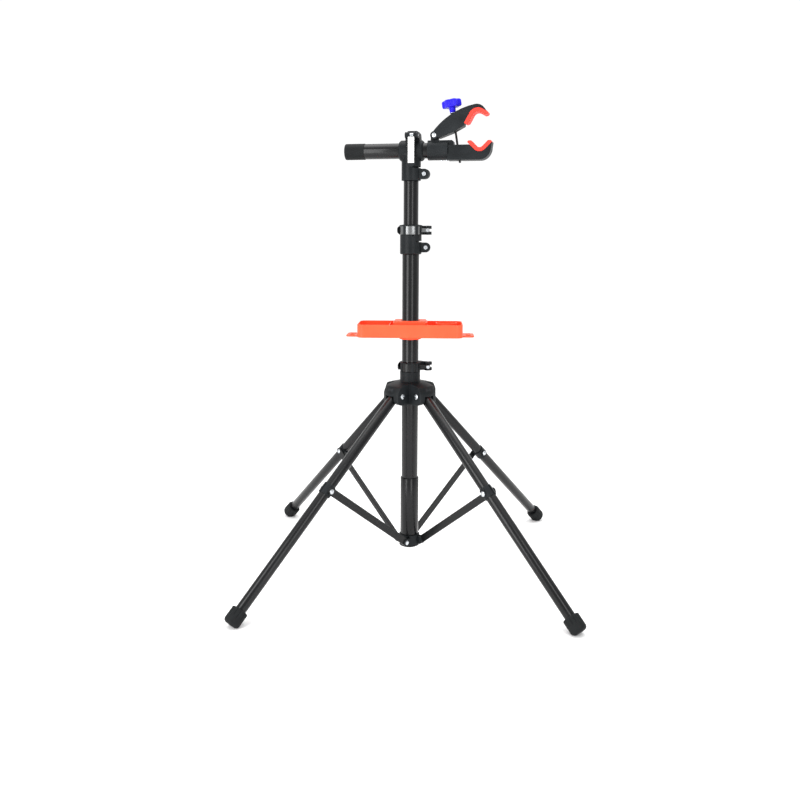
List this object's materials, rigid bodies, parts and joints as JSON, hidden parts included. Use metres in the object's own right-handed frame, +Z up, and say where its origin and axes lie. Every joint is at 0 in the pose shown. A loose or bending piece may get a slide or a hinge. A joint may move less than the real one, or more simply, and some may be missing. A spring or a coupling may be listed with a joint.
{
  "type": "bicycle repair stand",
  "caption": "Folding bicycle work stand: splayed legs on a sliding hub, braced telescopic post, tool tray and a turning clamp arm with padded jaws.",
  "frame": {"origin": "on the floor, under the post's axis", "axes": "+Z up along the post; +X along the tray to the clamp side; the legs stand at 45 degrees to X and Y; +Y away from the front"},
  "size_m": [0.7706, 0.7706, 1.1303],
  "materials": {
    "tube": "gloss black powder coat",
    "strut_steel": "satin black paint on pressed steel",
    "black_plastic": "moulded, fine texture",
    "black_rubber": "moulded rubber",
    "zinc": "bright zinc plate",
    "band": "plain rolled strip",
    "tray_plastic": "moulded, satin gloss",
    "pad_red": "soft moulded pad",
    "knob_blue": "moulded, semi-gloss",
    "label": "blank plate"
  },
  "bodies": {
    "post": {"strut_collar": "black_plastic", "strut_pins": "zinc", "base_sleeve": "tube", "main_tube": "tube", "upper_collar": "black_plastic", "upper_collar_bolt": "zinc", "upper_clamp_band": "band", "upper_clamp_bolt": "zinc"},
    "upper_lever": {"upper_clamp_lever": "black_plastic"},
    "hub": {"hub": "black_plastic", "leg_pins": "zinc", "hub_clamp_band": "strut_steel", "hub_clamp_bolt": "zinc"},
    "hub_lever": {"hub_clamp_lever": "black_plastic"},
    "leg_1": {"leg_1": "tube", "foot_1": "black_rubber", "strut_bracket_1": "black_plastic", "bracket_bolt_1": "zinc"},
    "strut_1": {"strut_1": "strut_steel", "strut_rivet_1": "zinc"},
    "leg_2": {"leg_2": "tube", "foot_2": "black_rubber", "strut_bracket_2": "black_plastic", "bracket_bolt_2": "zinc"},
    "strut_2": {"strut_2": "strut_steel", "strut_rivet_2": "zinc"},
    "leg_3": {"leg_3": "tube", "foot_3": "black_rubber", "strut_bracket_3": "black_plastic", "bracket_bolt_3": "zinc"},
    "strut_3": {"strut_3": "strut_steel", "strut_rivet_3": "zinc"},
    "leg_4": {"leg_4": "tube", "foot_4": "black_rubber", "strut_bracket_4": "black_plastic", "bracket_bolt_4": "zinc"},
    "strut_4": {"strut_4": "strut_steel", "strut_rivet_4": "zinc"},
    "tray_carrier": {"tray_bush": "black_plastic"},
    "tray": {"tray": "tray_plastic"},
    "mast": {"mast": "tube", "mast_bush": "black_plastic"},
    "head": {"head": "black_plastic", "head_bolt": "zinc", "head_lever_pin": "zinc", "head_eye_bolt": "zinc"},
    "head_lever": {"head_lever": "black_plastic", "head_label": "label"},
    "arm": {"arm_tube": "tube", "arm_grip": "black_rubber", "clamp_body": "black_plastic", "socket_screws": "zinc", "lower_pad": "pad_red", "jaw_pin": "zinc"},
    "upper_jaw": {"upper_jaw": "black_plastic", "upper_pad": "pad_red"},
    "clamp_screw": {"clamp_screw": "strut_steel"},
    "washer": {"screw_washer": "zinc"},
    "knob": {"knob": "knob_blue"}
  },
  "joints": [
    {"name": "hub_slide", "type": "slide", "parent": "post", "child": "hub", "axis": [0, 0, 1], "range_m": [0, 0.20621]},
    {"name": "leg_1_fold", "type": "hinge", "parent": "hub", "child": "leg_1", "pos_m": [0.03401, 0.03401, 0.44626], "axis": [-0.7071, 0.7071, 0], "range_deg": [0, 47.4]},
    {"name": "leg_2_fold", "type": "hinge", "parent": "hub", "child": "leg_2", "pos_m": [-0.03401, 0.03401, 0.44626], "axis": [-0.7071, -0.7071, 0], "range_deg": [0, 47.4]},
    {"name": "leg_3_fold", "type": "hinge", "parent": "hub", "child": "leg_3", "pos_m": [-0.03401, -0.03401, 0.44626], "axis": [0.7071, -0.7071, 0], "range_deg": [0, 47.4]},
    {"name": "leg_4_fold", "type": "hinge", "parent": "hub", "child": "leg_4", "pos_m": [0.03401, -0.03401, 0.44626], "axis": [0.7071, 0.7071, 0], "range_deg": [0, 47.4]},
    {"name": "strut_1_fold", "type": "hinge", "parent": "post", "child": "strut_1", "pos_m": [0.01853, 0.01853, 0.0713], "axis": [0.7071, -0.7071, 0], "range_deg": [0, 47.97]},
    {"name": "strut_2_fold", "type": "hinge", "parent": "post", "child": "strut_2", "pos_m": [-0.01853, 0.01853, 0.0713], "axis": [0.7071, 0.7071, 0], "range_deg": [0, 47.97]},
    {"name": "strut_3_fold", "type": "hinge", "parent": "post", "child": "strut_3", "pos_m": [-0.01853, -0.01853, 0.0713], "axis": [-0.7071, 0.7071, 0], "range_deg": [0, 47.97]},
    {"name": "strut_4_fold", "type": "hinge", "parent": "post", "child": "strut_4", "pos_m": [0.01853, -0.01853, 0.0713], "axis": [-0.7071, -0.7071, 0], "range_deg": [0, 47.97]},
    {"name": "tray_slide", "type": "slide", "parent": "post", "child": "tray_carrier", "axis": [0, 0, 1], "range_m": [0, 0.15371]},
    {"name": "tray_turn", "type": "hinge", "parent": "tray_carrier", "child": "tray", "pos_m": [0, 0, 0.58676], "axis": [0, 0, 1], "continuous": true},
    {"name": "hub_lever_swing", "type": "hinge", "parent": "hub", "child": "hub_lever", "pos_m": [0.0435, 0.0143, 0.51126], "axis": [0, 0, -1], "range_deg": [0, 110]},
    {"name": "upper_lever_swing", "type": "hinge", "parent": "post", "child": "upper_lever", "pos_m": [0.0394, 0.0143, 0.83647], "axis": [0, 0, -1], "range_deg": [0, 110]},
    {"name": "mast_slide", "type": "slide", "parent": "post", "child": "mast", "axis": [0, 0, 1], "range_m": [-0.098, 0.5]},
    {"name": "head_turn", "type": "hinge", "parent": "mast", "child": "head", "pos_m": [0, 0, 0.94947], "axis": [0, 0, 1], "continuous": true},
    {"name": "head_lever_swing", "type": "hinge", "parent": "head", "child": "head_lever", "pos_m": [0.00143, -0.02239, 1.04897], "axis": [-0.9848, 0.1736, 0], "range_deg": [0, 120]},
    {"name": "arm_turn", "type": "hinge", "parent": "head", "child": "arm", "pos_m": [0, 0, 1.01647], "axis": [0.9848, -0.1736, 0], "continuous": true},
    {"name": "jaw_close", "type": "hinge", "parent": "arm", "child": "upper_jaw", "pos_m": [0.05466, -0.00964, 1.04907], "axis": [0.1736, 0.9848, 0], "range_deg": [0, 20]},
    {"name": "screw_swing", "type": "hinge", "parent": "arm", "child": "clamp_screw", "pos_m": [0.10848, -0.01913, 1.01347], "axis": [0.1736, 0.9848, 0], "range_deg": [0, 9.25]},
    {"name": "washer_slide", "type": "slide", "parent": "clamp_screw", "child": "washer", "axis": [0.1591, -0.0281, -0.9869], "range_m": [0, 0.018]},
    {"name": "knob_turn", "type": "hinge", "parent": "washer", "child": "knob", "pos_m": [0.09527, -0.0168, 1.09537], "axis": [0.1591, -0.0281, -0.9869], "continuous": true}
  ],
  "couplings": [
    {"joint": "leg_1_fold", "follows": "hub_slide", "rad_per_m": 4.0118},
    {"joint": "leg_2_fold", "follows": "hub_slide", "rad_per_m": 4.0118},
    {"joint": "leg_3_fold", "follows": "hub_slide", "rad_per_m": 4.0118},
    {"joint": "leg_4_fold", "follows": "hub_slide", "rad_per_m": 4.0118},
    {"joint": "strut_1_fold", "follows": "hub_slide", "rad_per_m": 4.0599},
    {"joint": "strut_2_fold", "follows": "hub_slide", "rad_per_m": 4.0599},
    {"joint": "strut_3_fold", "follows": "hub_slide", "rad_per_m": 4.0599},
    {"joint": "strut_4_fold", "follows": "hub_slide", "rad_per_m": 4.0599},
    {"joint": "tray_slide", "follows": "hub_slide", "ratio": 0.7454},
    {"joint": "screw_swing", "follows": "jaw_close", "ratio": 0.4625},
    {"joint": "washer_slide", "follows": "jaw_close", "m_per_rad": 0.051565},
    {"joint": "knob_turn", "follows": "jaw_close", "ratio": 324}
  ]
}
